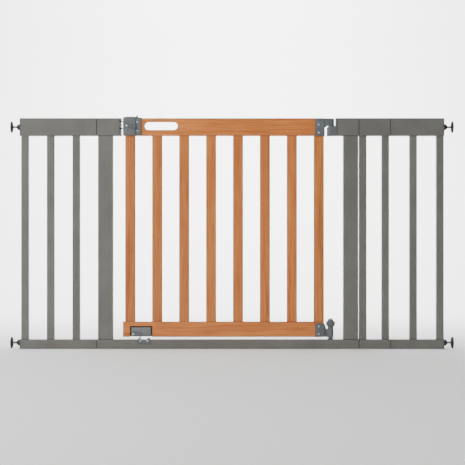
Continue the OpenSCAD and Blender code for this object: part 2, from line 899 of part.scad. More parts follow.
module latch_lever() {
    y1 = -y_housing - lever_gap;
    color(PLATE_COAT)
        difference() {
            along_y(y1 - lever_t, y1)
                tapered(x_lever, z_lever, lever_reach, lever_fall, lever_hub_r, lever_tip_r);
            peg_y(x_lever, y1 - lever_t - eps, y1 + eps, z_lever, rivet_r + pin_clear);
            peg_y(x_lever + 0.8 * lever_reach, y1 - lever_t - eps, y1 - lever_t + 1,
                  z_lever - 0.6 * lever_fall, 1.8);
        }
}

// The two rivets that the front levers turn on
module lever_rivets() {
    head_y = -y_housing - lever_t - rivet_head_gap;
    lock_head_y = -y_lock - lever_t - rivet_head_gap;
    color(BRIGHT) {
        front_screw(x_lever, z_lever, head_y, -y_housing + housing_wall + 1,
                    rivet_head_r, rivet_r, rivet_head_h);
        front_screw(x_lock_rivet, z_lock_rivet, lock_head_y, -y_lock + 3,
                    rivet_head_r, rivet_r, rivet_head_h);
    }
}

module door_screws() {
    color(BRIGHT) {
        for (z = flange_screw_z)
            front_screw(x_flange_screw, z, -y_flange, y_screw_end,
                        screw_head_r, screw_r, door_head_h);
        for (z = concat(plate_screw_z, bracket_screw_z))
            front_screw(x_plate_screw, z, -y_flange, y_screw_end,
                        screw_head_r, screw_r, door_head_h);
    }
}

// ---------------------------------------------------------------- hinges on the door

// Channel round the wood's end, with a back that the screws bite in
module hinge_channel(x1, z0, z1, screw_z) {
    outer_r = x1 - x_wood_1 + channel_round;
    difference() {
        translate([0, 0, z0])
            linear_extrude(z1 - z0)
                soft_plan(x_plate_0, x1, y_flange, outer_r);
        slab(x_plate_0 - eps, x_wood_1, -wood_t / 2, wood_t / 2, z0 - eps, z1 + eps);
        for (z = screw_z)
            peg_y(x_plate_screw, -y_flange - eps, y_screw_end, z, screw_r);
    }
}

module upper_hinge_plate() {
    gusset_h = 7;
    x_gusset = x_axis - rail_d / 2 - 0.8;
    color(PLATE_COAT)
        difference() {
            union() {
                hinge_channel(x_plate_1, z_top_0, z_plate_1, plate_screw_z);
                slab(x_plate_1 - eps, x_axis, -arm_r, arm_r, arm_z0, z_plate_1);
                translate([x_axis, 0, arm_z0])
                    cylinder(h = z_plate_1 - arm_z0, r = arm_r);
                along_y(-arm_r, arm_r)
                    polygon([[x_plate_1 - eps, arm_z0 + eps], [x_plate_1 - eps, arm_z0 - gusset_h],
                             [x_plate_1, arm_z0 - gusset_h], [x_plate_1 + 2, arm_z0 - gusset_h + 3],
                             [x_gusset, arm_z0 - gusset_h + 4], [x_gusset, arm_z0 + eps]]);
            }
            translate([x_axis, 0, arm_z0 - eps])
                cylinder(h = top_rail_h, r = pin_r + pin_clear);
        }
}

module lower_hinge_bracket() {
    arm_side = barrel_r - 1;
    z_arm = z_door_0 + bracket_arm_h;
    shoulder_w = 5.5;
    color(PLATE_COAT)
        difference() {
            union() {
                hinge_channel(x_bracket_1, z_door_0, z_door_0 + bracket_h, bracket_screw_z);
                slab(x_bracket_1 - eps, x_axis, -arm_side, arm_side, z_door_0, z_arm);
                along_y(-arm_side, arm_side)
                    polygon([[x_bracket_1 - eps, z_arm - eps], [x_bracket_1 - eps, z_door_0 + bracket_h],
                             [x_bracket_1, z_door_0 + bracket_h], [x_bracket_1 + shoulder_w, z_arm + 2],
                             [x_bracket_1 + shoulder_w, z_arm - eps]]);
                translate([x_axis, 0, z_barrel_0])
                    cylinder(h = barrel_h, r = barrel_r);
            }
            translate([x_axis, 0, z_barrel_0 - eps])
                cylinder(h = barrel_h, r = pin_r + pin_clear);
            translate([x_axis, 0, z_barrel_0 + bearing_l])
                cylinder(h = barrel_h, r = chamber_r);
        }
}

// ---------------------------------------------------------------- lower lock

// Hollow case in the notch of the bottom rail, on a back plate that fills the notch
module lower_lock_case() {
    wall = 2;
    color(PLATE_COAT)
        difference() {
            union() {
                slab(x_lock_0, x_lock_1, -y_lock, eps, z_lock_0, z_lock_1);
                slab(x_lock_0 - notch_side, x_lock_1 + notch_side, 0, wood_t / 2,
                     z_lock_0, notch_top);
            }
            slab(x_lock_0 + wall, x_lock_1 - wall, -y_lock + wall, wood_t / 2 - wall,
                 z_lock_0 - eps, z_lock_1 - wall);
            peg_y(x_lock_rivet, -y_lock - eps, 0, z_lock_rivet, rivet_r);
        }
}

module lower_lock_lever() {
    y1 = -y_lock - lever_gap;
    z_tip = sill_h + 1;
    color(PLATE_COAT)
        difference() {
            union() {
                along_y(y1 - lever_t, y1)
                    pill(x_lock_rivet, z_lock_rivet, lock_lever_reach, lock_lever_w);
                slab(x_prong - prong_w / 2, x_prong + prong_w / 2, y1 - lever_t, y1,
                     z_tip, z_lock_rivet);
            }
            peg_y(x_lock_rivet, y1 - lever_t - eps, y1 + eps, z_lock_rivet, rivet_r + pin_clear);
        }
}

// ---------------------------------------------------------------- drawing

left_post();
right_post();
threshold_rail();
latch_side_rail();
hinge_side_rail();
strike_plug();
hinge_knuckle();
upper_hinge_pin();
lower_hinge_pin();
closing_spring();
hinge_tension_knob();
floor_catch();
catch_screws();
left_ext_top_rail();
left_ext_bottom_rail();
left_ext_bars();
near_ext_top_rail();
near_ext_bottom_rail();
near_ext_bars();
far_ext_top_rail();
far_ext_bottom_rail();
far_ext_bars();
panel_joiners();
rail_end_plugs();
door_top_rail();
door_bottom_rail();
for (i = [0 : SLAT_COUNT - 1])
    door_slat(i);
latch_housing_front();
latch_housing_back();
latch_bolts();
thumb_slide();
latch_spring();
latch_lever();
lever_rivets();
door_screws();
upper_hinge_plate();
lower_hinge_bracket();
lower_lock_case();
lower_lock_lever();
for (corner = CORNERS) {
    wall_pad(corner);
    spindle(corner);
    hand_nut(corner);
}
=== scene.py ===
# %% [markdown]
# # A wooden-door safety gate, finished in Blender
#
# The gate's frame, hinges, latch and wall fixings come from the engineering model, to the millimetre.
# This lesson dresses them: powder-coated steel, stained and lacquered hardwood, die-cast hinge
# fittings, moulded nylon, rubber wall pads and threaded spindles. Every piece keeps the place that
# the engineering model gives it, so nothing here is fitted by eye.

# %% Load the gate
import math

import bmesh
import bpy
from mathutils import Matrix, Vector


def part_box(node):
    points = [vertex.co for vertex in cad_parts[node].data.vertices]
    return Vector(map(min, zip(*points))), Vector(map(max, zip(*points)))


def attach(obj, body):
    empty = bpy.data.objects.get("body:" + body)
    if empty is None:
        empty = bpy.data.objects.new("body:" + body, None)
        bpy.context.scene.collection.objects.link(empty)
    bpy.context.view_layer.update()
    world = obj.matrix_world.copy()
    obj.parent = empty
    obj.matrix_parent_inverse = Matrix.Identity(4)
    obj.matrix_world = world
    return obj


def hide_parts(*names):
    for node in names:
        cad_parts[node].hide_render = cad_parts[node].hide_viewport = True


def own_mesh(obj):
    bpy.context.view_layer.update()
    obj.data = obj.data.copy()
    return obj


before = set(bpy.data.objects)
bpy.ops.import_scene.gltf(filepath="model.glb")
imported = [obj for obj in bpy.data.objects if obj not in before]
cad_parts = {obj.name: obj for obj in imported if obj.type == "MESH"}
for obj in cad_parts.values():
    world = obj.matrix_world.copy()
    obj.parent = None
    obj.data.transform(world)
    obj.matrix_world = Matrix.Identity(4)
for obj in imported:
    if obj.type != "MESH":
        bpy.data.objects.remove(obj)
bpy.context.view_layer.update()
MM = 0.001

# %% [markdown]
# ## Colours and nodes
#
# Colours are written as sRGB hex values. Blender's shaders work in linear light, so one function
# turns them over. One more function adds a node, sets it up and wires it; shader trees and
# geometry trees are both built with it.


# %% Helpers for colours and nodes
def linear(hex_colour):
    channels = [int(hex_colour[i:i + 2], 16) / 255 for i in (1, 3, 5)]
    return tuple(c / 12.92 if c <= 0.04045 else ((c + 0.055) / 1.055) ** 2.4 for c in channels) + (1.0,)


def add(tree, kind, links=None, **settings):
    """Adds a node; links maps an input's name or number to a value or to another node's output."""
    node = tree.nodes.new(kind)
    for name, value in settings.items():
        setattr(node, name, value)
    for socket, source in (links or {}).items():
        if isinstance(source, bpy.types.NodeSocket):
            tree.links.new(source, node.inputs[socket])
        else:
            node.inputs[socket].default_value = source
    return node


def new_material(name, **shader):
    """A material with a Principled shader; shader gives its constant inputs by name."""
    material = bpy.data.materials.new(name)
    material.use_nodes = True
    tree = material.node_tree
    principled = tree.nodes["Principled BSDF"]
    for socket, value in shader.items():
        principled.inputs[socket.replace("_", " ")].default_value = value
    material.diffuse_color = principled.inputs["Base Color"].default_value
    return material, tree, principled


def ramp(tree, factor, *stops):
    """A colour ramp; each stop is a position and a hex colour."""
    node = add(tree, "ShaderNodeValToRGB", {"Fac": factor})
    elements = node.color_ramp.elements
    while len(elements) < len(stops):
        elements.new(0.5)
    for element, (position, colour) in zip(elements, stops):
        element.position = position
        element.color = linear(colour)
    return node.outputs["Color"]


def spread(tree, value, low, high, to_low=0.0, to_high=1.0):
    """Stretches a range of a value over another range."""
    links = {"Value": value, "From Min": low, "From Max": high, "To Min": to_low, "To Max": to_high}
    return add(tree, "ShaderNodeMapRange", links).outputs["Result"]


def calc(tree, operation, a, b=0.0):
    return add(tree, "ShaderNodeMath", {0: a, 1: b}, operation=operation).outputs[0]


def blend_colour(tree, factor, a, b, how="MIX"):
    node = add(tree, "ShaderNodeMix", {0: factor, 6: a, 7: b}, data_type="RGBA", blend_type=how)
    return node.outputs[2]


def edges(tree, radius, low=0.02, high=0.25):
    """1 along the edges of a piece and 0 on its faces, from how far a rounded normal leans over."""
    rounded = add(tree, "ShaderNodeBevel", {"Radius": radius}, samples=6).outputs["Normal"]
    face = add(tree, "ShaderNodeNewGeometry").outputs["Normal"]
    lean = add(tree, "ShaderNodeVectorMath", {0: rounded, 1: face}, operation="DOT_PRODUCT")
    return spread(tree, calc(tree, "SUBTRACT", 1.0, lean.outputs["Value"]), low, high)


# %% [markdown]
# ## Powder-coated steel
#
# The rails, posts and bars are steel tube. Grey polyester powder is sprayed on dry and baked until it
# flows, which leaves a satin skin with a soft, low "orange peel" about 1.5 mm from dimple to dimple.
# Along every edge the colour is blended towards near black: that is painted shade, for the rounded
# edges turning away from the light. The pattern is solid noise on object coordinates, so it runs on
# unbroken over each tube. The fine grain is drawn at 0.5 mm, a little coarser than the real one, so
# that it shows.


# %% Powder coat and its textured cousin
def powder_coat(name, colour, pale, dark, shade_reach, peel, peel_depth, grain, grain_depth, roughness):
    """The fifth argument is how far in from an edge the painted edge shade reaches, in metres."""
    material, tree, shader = new_material(name, Base_Color=linear(colour), Metallic=0.0, IOR=1.5)
    place = add(tree, "ShaderNodeTexCoord").outputs["Object"]
    peel_noise = add(tree, "ShaderNodeTexNoise", {"Vector": place, "Scale": 1 / peel, "Detail": 2.0})
    grain_noise = add(tree, "ShaderNodeTexNoise", {"Vector": place, "Scale": 1 / grain, "Detail": 3.0})
    cloud = add(tree, "ShaderNodeTexNoise", {"Vector": place, "Scale": 9.0, "Detail": 4.0})
    cloudy = ramp(tree, spread(tree, cloud.outputs["Fac"], 0.3, 0.7), (0.0, dark), (1.0, colour))
    speckle = spread(tree, grain_noise.outputs["Fac"], 0.35, 0.75, 0.0, 0.35)
    speckled = blend_colour(tree, speckle, cloudy, linear(pale))
    # Painted shade: the colour is blended towards near black along every edge, for rounded edges turning
    # away from the light.
    painted_edge_shade = calc(tree, "MULTIPLY", edges(tree, shade_reach, 0.006, 0.09), 0.8)
    tree.links.new(blend_colour(tree, painted_edge_shade, speckled, linear("#1f2022")), shader.inputs["Base Color"])
    rough = spread(tree, peel_noise.outputs["Fac"], 0.3, 0.7, roughness - 0.05, roughness + 0.07)
    tree.links.new(rough, shader.inputs["Roughness"])
    fine = add(tree, "ShaderNodeBump", {"Height": grain_noise.outputs["Fac"], "Distance": grain_depth,
                                        "Strength": 0.6})
    soft = add(tree, "ShaderNodeBump", {"Height": peel_noise.outputs["Fac"], "Distance": peel_depth,
                                        "Strength": 0.5, "Normal": fine.outputs["Normal"]})
    tree.links.new(soft.outputs["Normal"], shader.inputs["Normal"])
    return material


STEEL = powder_coat("satin_slate_powder_coat_on_steel", "#62615c", "#787772", "#565550",
                    3.2 * MM, 1.5 * MM, 0.05 * MM, 0.5 * MM, 0.03 * MM, 0.42)
CASTING = powder_coat("textured_powder_coat_on_zinc_casting", "#565a5e", "#83878b", "#393d40",
                      2.4 * MM, 1.8 * MM, 0.12 * MM, 0.7 * MM, 0.12 * MM, 0.5)
NYLON = powder_coat("spark_textured_grey_nylon", "#646768", "#808384", "#4a4d4f",
                    2.4 * MM, 1.2 * MM, 0.08 * MM, 0.45 * MM, 0.08 * MM, 0.55)
print("made", STEEL.name, "and", CASTING.name)

# %% [markdown]
# ## Stained and lacquered hardwood
#
# The door is hardwood, stained honey brown and sealed with a satin lacquer. Three things make wood
# read as wood: growth rings, which a sawn face cuts into long flowing bands; fibres, which are
# hair-fine streaks along the grain; and pores, short dark dashes. The rounded edges are blended
# towards deep brown: that is painted shade, for edges turning away from the light. The bands are
# drawn about 7 mm apart, fibres 0.6 mm and pores 0.35 mm wide. Each slat was cut from a different
# board, so an attribute on the mesh gives every slat its own stretch of grain and its own tone.


# %% Stained wood
def stained_wood(name, along, own_boards):
    """along is the grain's axis, 0 for X and 2 for Z; own_boards reads each slat's board number."""
    material, tree, shader = new_material(name, Base_Color=linear("#b57c50"), IOR=1.5,
                                          Coat_Weight=0.18, Coat_Roughness=0.28)
    place = add(tree, "ShaderNodeTexCoord").outputs["Object"]
    if own_boards:
        board = add(tree, "ShaderNodeAttribute", attribute_name="board").outputs["Fac"]
        shift = add(tree, "ShaderNodeCombineXYZ", {0: calc(tree, "MULTIPLY", board, 0.37),
                                                   1: calc(tree, "MULTIPLY", board, 0.21),
                                                   2: calc(tree, "MULTIPLY", board, 1.3)})
        place = add(tree, "ShaderNodeVectorMath", {0: place, 1: shift.outputs[0]},
                    operation="ADD").outputs[0]

    def stretched(across_scale, along_scale):
        scale = [across_scale] * 3
        scale[along] = along_scale
        return add(tree, "ShaderNodeMapping", {"Vector": place, "Scale": scale}).outputs["Vector"]

    sway = add(tree, "ShaderNodeTexNoise", {"Vector": stretched(14.0, 2.2), "Scale": 1.0, "Detail": 3.0})
    swayed = add(tree, "ShaderNodeVectorMath", {0: sway.outputs["Color"], 1: (0.03, 0.03, 0.03)},
                 operation="MULTIPLY")
    warped = add(tree, "ShaderNodeVectorMath", {0: place, 1: swayed.outputs[0]}, operation="ADD")
    ring_scale = [140.0, 60.0, 140.0]
    ring_scale[along] = 2.6
    ring_place = add(tree, "ShaderNodeMapping", {"Vector": warped.outputs[0], "Scale": ring_scale})
    rings = add(tree, "ShaderNodeTexNoise", {"Vector": ring_place.outputs["Vector"], "Scale": 1.0,
                                             "Detail": 2.0, "Distortion": 0.6})
    fibres = add(tree, "ShaderNodeTexNoise", {"Vector": stretched(1600.0, 22.0), "Scale": 1.0,
                                              "Detail": 2.0})
    streaks = add(tree, "ShaderNodeTexNoise", {"Vector": stretched(420.0, 7.0), "Scale": 1.0,
                                               "Detail": 3.0})
    pores = add(tree, "ShaderNodeTexVoronoi", {"Vector": stretched(1500.0, 90.0), "Scale": 1.0})
    blotch = add(tree, "ShaderNodeTexNoise", {"Vector": stretched(30.0, 9.0), "Scale": 1.0,
                                              "Detail": 3.0})

    banded = ramp(tree, rings.outputs["Fac"], (0.30, "#94490f"), (0.42, "#c56c26"), (0.55, "#d88236"),
                  (0.70, "#b56120"))
    streaked = blend_colour(tree, spread(tree, streaks.outputs["Fac"], 0.40, 0.68, 0.0, 0.55), banded,
                            linear("#944810"))
    fibred = blend_colour(tree, spread(tree, fibres.outputs["Fac"], 0.35, 0.70, 0.0, 0.35), streaked,
                          linear("#e59648"))
    pore_mask = spread(tree, pores.outputs["Distance"], 0.10, 0.22, 0.45, 0.0)
    pored = blend_colour(tree, pore_mask, fibred, linear("#6a3d20"))
    stained = blend_colour(tree, spread(tree, blotch.outputs["Fac"], 0.35, 0.68, 0.0, 0.38), pored,
                           linear("#9f4c14"))
    if own_boards:
        shade = add(tree, "ShaderNodeTexWhiteNoise", {"W": calc(tree, "ADD", board, 0.37)},
                    noise_dimensions="1D")
        darker = spread(tree, shade.outputs["Value"], 0.0, 1.0, 0.0, 0.30)
        stained = blend_colour(tree, darker, stained, linear("#8a5029"))
    # Painted shade: the colour is blended towards deep brown along the rounded edges, for edges turning
    # away from the light.
    painted_wood_edge_shade = calc(tree, "MULTIPLY", edges(tree, 4.5 * MM, 0.006, 0.09), 0.9)
    darkened = blend_colour(tree, painted_wood_edge_shade, stained, linear("#3c1d0a"))
    tree.links.new(darkened, shader.inputs["Base Color"])
    rough = spread(tree, fibres.outputs["Fac"], 0.3, 0.7, 0.34, 0.46)
    tree.links.new(rough, shader.inputs["Roughness"])
    relief = calc(tree, "SUBTRACT", fibres.outputs["Fac"], pore_mask)
    bump = add(tree, "ShaderNodeBump", {"Height": relief, "Distance": 0.06 * MM, "Strength": 0.55})
    tree.links.new(bump.outputs["Normal"], shader.inputs["Normal"])
    return material


WOOD_RAIL = stained_wood("honey_stained_hardwood_rail", 0, False)
WOOD_SLAT = stained_wood("honey_stained_hardwood_slat", 2, True)
print("made", WOOD_RAIL.name, "and", WOOD_SLAT.name)

# %% [markdown]
# ## Rubber, black nylon and plated steel
#
# The wall pads are moulded rubber: almost black, dull, with a faint dusty bloom. The hand nuts, bolts
# and thumb slide are black nylon, a little smoother. Spindles and the upper hinge pin are zinc plated,
# which gives bare steel a faint blue-grey cast, and the screws and rivets are bright nickel. Metals keep
# the default index of refraction; their look is in the colour and the roughness.


# %% Rubber and nylon
def moulded(name, colour, bloom, grain, depth, roughness):
    material, tree, shader = new_material(name, Base_Color=linear(colour), IOR=1.5)
    place = add(tree, "ShaderNodeTexCoord").outputs["Object"]
    dust = add(tree, "ShaderNodeTexNoise", {"Vector": place, "Scale": 160.0, "Detail": 5.0})
    texture = add(tree, "ShaderNodeTexNoise", {"Vector": place, "Scale": 1 / grain, "Detail": 2.0})
    dusty = spread(tree, dust.outputs["Fac"], 0.42, 0.75, 0.0, 0.5)
    rubbed = calc(tree, "MAXIMUM", dusty, calc(tree, "MULTIPLY", edges(tree, 0.8 * MM), 0.12))
    bloomed = blend_colour(tree, rubbed, linear(colour), linear(bloom))
    tree.links.new(bloomed, shader.inputs["Base Color"])
    rough = spread(tree, dust.outputs["Fac"], 0.3, 0.7, roughness - 0.06, roughness + 0.08)
    tree.links.new(rough, shader.inputs["Roughness"])
    bump = add(tree, "ShaderNodeBump", {"Height": texture.outputs["Fac"], "Distance": depth,
                                        "Strength": 0.5})
    tree.links.new(bump.outputs["Normal"], shader.inputs["Normal"])
    return material


RUBBER = moulded("black_moulded_rubber", "#0d0e10", "#1e2124", 0.5 * MM, 0.05 * MM, 0.68)
BLACK_NYLON = moulded("black_moulded_nylon", "#0b0c0d", "#1b1d1f", 0.4 * MM, 0.03 * MM, 0.45)


# %% Plated steel
def plated(name, colour, tint, roughness):
    material, tree, shader = new_material(name, Base_Color=linear(colour), Metallic=1.0)
    place = add(tree, "ShaderNodeTexCoord").outputs["Object"]
    cloud = add(tree, "ShaderNodeTexNoise", {"Vector": place, "Scale": 220.0, "Detail": 3.0})
    streak = add(tree, "ShaderNodeTexNoise", {"Vector": place, "Scale": 2500.0, "Detail": 2.0})
    tone = spread(tree, cloud.outputs["Fac"], 0.35, 0.7)
    tree.links.new(blend_colour(tree, tone, linear(colour), linear(tint)), shader.inputs["Base Color"])
    rough = spread(tree, streak.outputs["Fac"], 0.3, 0.7, roughness - 0.06, roughness + 0.1)
    tree.links.new(rough, shader.inputs["Roughness"])
    bump = add(tree, "ShaderNodeBump", {"Height": streak.outputs["Fac"], "Distance": 0.01 * MM,
                                        "Strength": 0.4})
    tree.links.new(bump.outputs["Normal"], shader.inputs["Normal"])
    return material


ZINC = plated("zinc_plated_steel", "#77838a", "#606c74", 0.34)
NICKEL = plated("bright_nickel_plated_steel", "#cfd1d2", "#b9bbbd", 0.22)
print("made", RUBBER.name, BLACK_NYLON.name, ZINC.name, NICKEL.name)

# %% [markdown]
# ## Placing and finishing pieces
#
# A finished piece rides on the body that its engineering twin moves with, and takes over from it.
# Small functions do that for every piece, so the steps that follow only describe shapes.


# %% Finish a piece
SAME_POINT = 0.002 * MM


def centre(node):
    low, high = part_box(node)
    return (Vector(low) + Vector(high)) / 2


def stand_for(piece, body, slot, *nodes):
    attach(piece, body)
    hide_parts(*nodes)


def as_mesh(source, name):
    """The evaluated shape of an object as a new plain mesh object; the source is removed."""
    graph = bpy.context.evaluated_depsgraph_get()
    mesh = bpy.data.meshes.new_from_object(source.evaluated_get(graph), depsgraph=graph)
    mesh.name = name
    bpy.data.objects.remove(source)
    piece = bpy.data.objects.new(name, mesh)
    bpy.context.collection.objects.link(piece)
    return piece


def shade(piece, angle=35):
    piece.data.shade_smooth()
    piece.data.set_sharp_from_angle(angle=math.radians(angle))


def face_outwards(piece, merge=0.0):
    """Turns every face outwards, after joining points closer than merge."""
    bm = bmesh.new()
    bm.from_mesh(piece.data)
    if merge:
        bmesh.ops.remove_doubles(bm, verts=bm.verts, dist=merge)
    bmesh.ops.recalc_face_normals(bm, faces=bm.faces)
    bm.to_mesh(piece.data)
    bm.free()


def object_from(bm, name, *materials):
    mesh = bpy.data.meshes.new(name)
    bm.normal_update()
    bm.to_mesh(mesh)
    bm.free()
    piece = bpy.data.objects.new(name, mesh)
    bpy.context.collection.objects.link(piece)
    for material in materials:
        mesh.materials.append(material)
    return piece


# %% [markdown]
# ## Steel tubes
#
# The tubes are exactly right as the engineering model has them, corner radius and all, so they
# only need their finish. The same goes for the joiner blocks inside them and for the hinge pins:
# the upper pin is plated, and the lower one, with its foot plate, is coated like the castings
# round it. The slotted strike at the end of the rail is kept as well: its teeth are too slim to
# bevel cleanly, and its long corners are round already.

# %% Give the tubes and pins their finish
STEEL_NODES = ["left_post", "right_post", "threshold_rail", "latch_side_rail", "hinge_side_rail",
               "left_ext_top_rail", "left_ext_bottom_rail", "left_ext_bars",
               "near_ext_top_rail", "near_ext_bottom_rail", "near_ext_bars",
               "far_ext_top_rail", "far_ext_bottom_rail", "far_ext_bars"]
KEPT = {name: STEEL for name in STEEL_NODES}
KEPT.update({"panel_joiners": BLACK_NYLON, "upper_hinge_pin": ZINC, "lower_hinge_pin": CASTING,
             "strike_plug": NYLON})
for name, finish in KEPT.items():
    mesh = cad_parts[name].data
    mesh.materials.clear()
    mesh.materials.append(finish)
print("finished", len(KEPT), "engineering pieces as they are")

# %% [markdown]
# ## Castings and mouldings with soft edges
#
# A casting or a moulding never has a knife edge: the mould is rounded so that metal or plastic
# flows and lets go. Each of these is a copy of its engineering twin. Its triangles are joined
# back into whole faces, and a bevel rounds every edge sharper than 35 degrees by the radius that
# the process leaves: 0.6 to 0.8 mm on castings, 0.5 to 0.6 mm on mouldings. The bevel cuts
# inwards, so sizes stay the same.


# %% Round the castings and mouldings
def softened(node, body, slot, material, radius):
    bm = bmesh.new()
    bm.from_mesh(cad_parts[node].data)
    bmesh.ops.remove_doubles(bm, verts=bm.verts, dist=SAME_POINT)
    bmesh.ops.dissolve_limit(bm, angle_limit=math.radians(1), verts=bm.verts, edges=bm.edges)
    block = object_from(bm, node + "_block")
    block.data.shade_smooth()
    bevel = block.modifiers.new("round", "BEVEL")
    bevel.width = radius
    bevel.segments = 3
    bevel.limit_method = "ANGLE"
    bevel.angle_limit = math.radians(35)
    bevel.use_clamp_overlap = True
    bevel.harden_normals = True
    piece = as_mesh(block, node + "_finished")
    piece.data.materials.clear()
    piece.data.materials.append(material)
    stand_for(piece, body, slot, node)
    return piece


SOFT = [("rail_end_plugs", "frame", "grey_nylon", NYLON, 0.5),
        ("hinge_knuckle", "frame", "coated_casting", CASTING, 0.8),
        ("floor_catch", "frame", "coated_casting", CASTING, 0.6),
        ("upper_hinge_plate", "door", "coated_casting", CASTING, 0.8),
        ("lower_hinge_bracket", "door", "coated_casting", CASTING, 0.8),
        ("latch_housing_front", "door", "grey_nylon", NYLON, 0.6),
        ("latch_housing_back", "door", "grey_nylon", NYLON, 0.6),
        ("lower_lock_case", "door", "grey_nylon", NYLON, 0.6),
        ("latch_lever", "latch_lever", "coated_casting", CASTING, 0.7),
        ("lower_lock_lever", "lower_lock", "coated_casting", CASTING, 0.6),
        ("latch_bolts", "latch_slide", "black_nylon", BLACK_NYLON, 0.5),
        ("thumb_slide", "latch_slide", "black_nylon", BLACK_NYLON, 0.5)]
for node, body, slot, material, radius in SOFT:
    softened(node, body, slot, material, radius * MM)
print("rounded", len(SOFT), "castings and mouldings")

# %% [markdown]
# ## Wooden rails
#
# Each rail is sawn to an outline, the hand slot is routed through it, and every edge is rounded
# over with a 2 or 2.5 mm cutter. A flat curve does the same in Blender: its outline is filled,
# holes and all, extruded to the thickness of the board and bevelled on both faces. The offset
# pulls the outline in by the bevel's own radius, so the finished board keeps its size.


# %% Rails from outlines
def board(name, outlines, y0, y1, rounding, material):
    """outlines are closed lists of (x, z) points in metres: the board first, then its holes."""
    curve = bpy.data.curves.new(name + "_outline", "CURVE")
    curve.dimensions = "2D"
    curve.fill_mode = "BOTH"
    curve.extrude = (y1 - y0) / 2 - rounding
    curve.bevel_depth = rounding
    curve.bevel_resolution = 3
    curve.offset = -rounding
    for points in outlines:
        spline = curve.splines.new("POLY")
        spline.points.add(len(points) - 1)
        for point, (x, z) in zip(spline.points, points):
            point.co = (x, z, 0, 1)
        spline.use_cyclic_u = True
    flat = bpy.data.objects.new(name + "_flat", curve)
    bpy.context.collection.objects.link(flat)
    bpy.context.view_layer.update()
    piece = as_mesh(flat, name)
    upright = Matrix.Translation((0, (y0 + y1) / 2, 0)) @ Matrix.Rotation(math.pi / 2, 4, "X")
    piece.data.transform(upright)
    face_outwards(piece, 0.01 * MM)
    piece.data.materials.clear()
    piece.data.materials.append(material)
    shade(piece)
    return piece


def arc(x, z, radius, start, stop, steps=20):
    angles = [math.radians(start + (stop - start) * i / steps) for i in range(steps + 1)]
    return [(x + radius * math.cos(a), z + radius * math.sin(a)) for a in angles]


rail_low, rail_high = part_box("door_top_rail")
flange_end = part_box("latch_housing_front")[1][0]
slide_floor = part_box("thumb_slide")[0][2]
carriage_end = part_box("latch_spring")[1][0]
TONGUE_HEIGHT, FIT_GAP, SLIDE_GAP = 14 * MM, 0.3 * MM, 0.7 * MM
tongue_top = rail_low[2] + TONGUE_HEIGHT
pocket_floor = slide_floor - SLIDE_GAP
SLOT_LENGTH, SLOT_HEIGHT = 108.5 * MM, 26 * MM
SLOT_INSET, SLOT_DROP = 11 * MM, 13 * MM
slot_left = flange_end + SLOT_INSET
slot_z = rail_high[2] - SLOT_DROP - SLOT_HEIGHT / 2
slot_r = SLOT_HEIGHT / 2

top_outline = [(rail_low[0], rail_low[2]), (rail_high[0], rail_low[2]), (rail_high[0], rail_high[2]),
               (flange_end - FIT_GAP, rail_high[2]), (flange_end - FIT_GAP, pocket_floor),
               (carriage_end + FIT_GAP, pocket_floor), (carriage_end + FIT_GAP, tongue_top),
               (rail_low[0], tongue_top)]
slot_outline = (arc(slot_left + slot_r, slot_z, slot_r, 90, 270)
                + arc(slot_left + SLOT_LENGTH - slot_r, slot_z, slot_r, -90, 90))
top_rail = board("top_rail_board", [top_outline, slot_outline], rail_low[1], rail_high[1], 2.5 * MM,
                 WOOD_RAIL)
stand_for(top_rail, "door", "stained_wood", "door_top_rail")

low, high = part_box("door_bottom_rail")
case_low, case_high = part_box("lower_lock_case")
notch = [(case_high[0], low[2]), (case_high[0], case_high[2]), (case_low[0], case_high[2]),
         (case_low[0], low[2])]
bottom_outline = [(low[0], low[2]), (low[0], high[2]), (high[0], high[2]), (high[0], low[2])] + notch
bottom_rail = board("bottom_rail_board", [bottom_outline], low[1], high[1], 2.0 * MM, WOOD_RAIL)
stand_for(bottom_rail, "door", "stained_wood", "door_bottom_rail")
print("rails:", len(top_rail.data.polygons), "and", len(bottom_rail.data.polygons), "faces")

# %% [markdown]
# ## Slats
#
# Eight slats alike, a fixed pitch apart, are a job for Geometry Nodes. A rounded rectangle is swept
# along a straight line to make one slat; a row of points carries the slat along the rail; and the
# index of each copy is stored as its board number, which the wood reads to give every slat its own
# grain. The tree ends in Realize Instances and Set Material, so the result is a plain mesh.


# %% A function that starts a geometry tree
def geometry_tree(name, **inputs):
    """A tree with named inputs and a Geometry output; returns it, its input node and identifiers."""
    tree = bpy.data.node_groups.new(name, "GeometryNodeTree")
    kinds = {float: "NodeSocketFloat", int: "NodeSocketInt", tuple: "NodeSocketVector",
             bpy.types.Material: "NodeSocketMaterial", bpy.types.Object: "NodeSocketObject"}
    identifiers = {}
    tree.interface.new_socket("Geometry", in_out="INPUT", socket_type="NodeSocketGeometry")
    for label, value in inputs.items():
        kind = next(k for t, k in kinds.items() if isinstance(value, t))
        socket = tree.interface.new_socket(label, in_out="INPUT", socket_type=kind)
        identifiers[label] = socket.identifier
    tree.interface.new_socket("Geometry", in_out="OUTPUT", socket_type="NodeSocketGeometry")
    return tree, add(tree, "NodeGroupInput"), identifiers


def grow(name, tree, identifiers, values, base=None):
    """Runs a tree with its values on a base mesh, or an empty one, and returns a plain mesh."""
    holder = bpy.data.objects.new(name + "_holder", base or bpy.data.meshes.new(name + "_base"))
    bpy.context.collection.objects.link(holder)
    modifier = holder.modifiers.new("grow", "NODES")
    modifier.node_group = tree
    for label, value in values.items():
        modifier[identifiers[label]] = value
    holder.update_tag()
    bpy.context.view_layer.update()
    return as_mesh(holder, name)


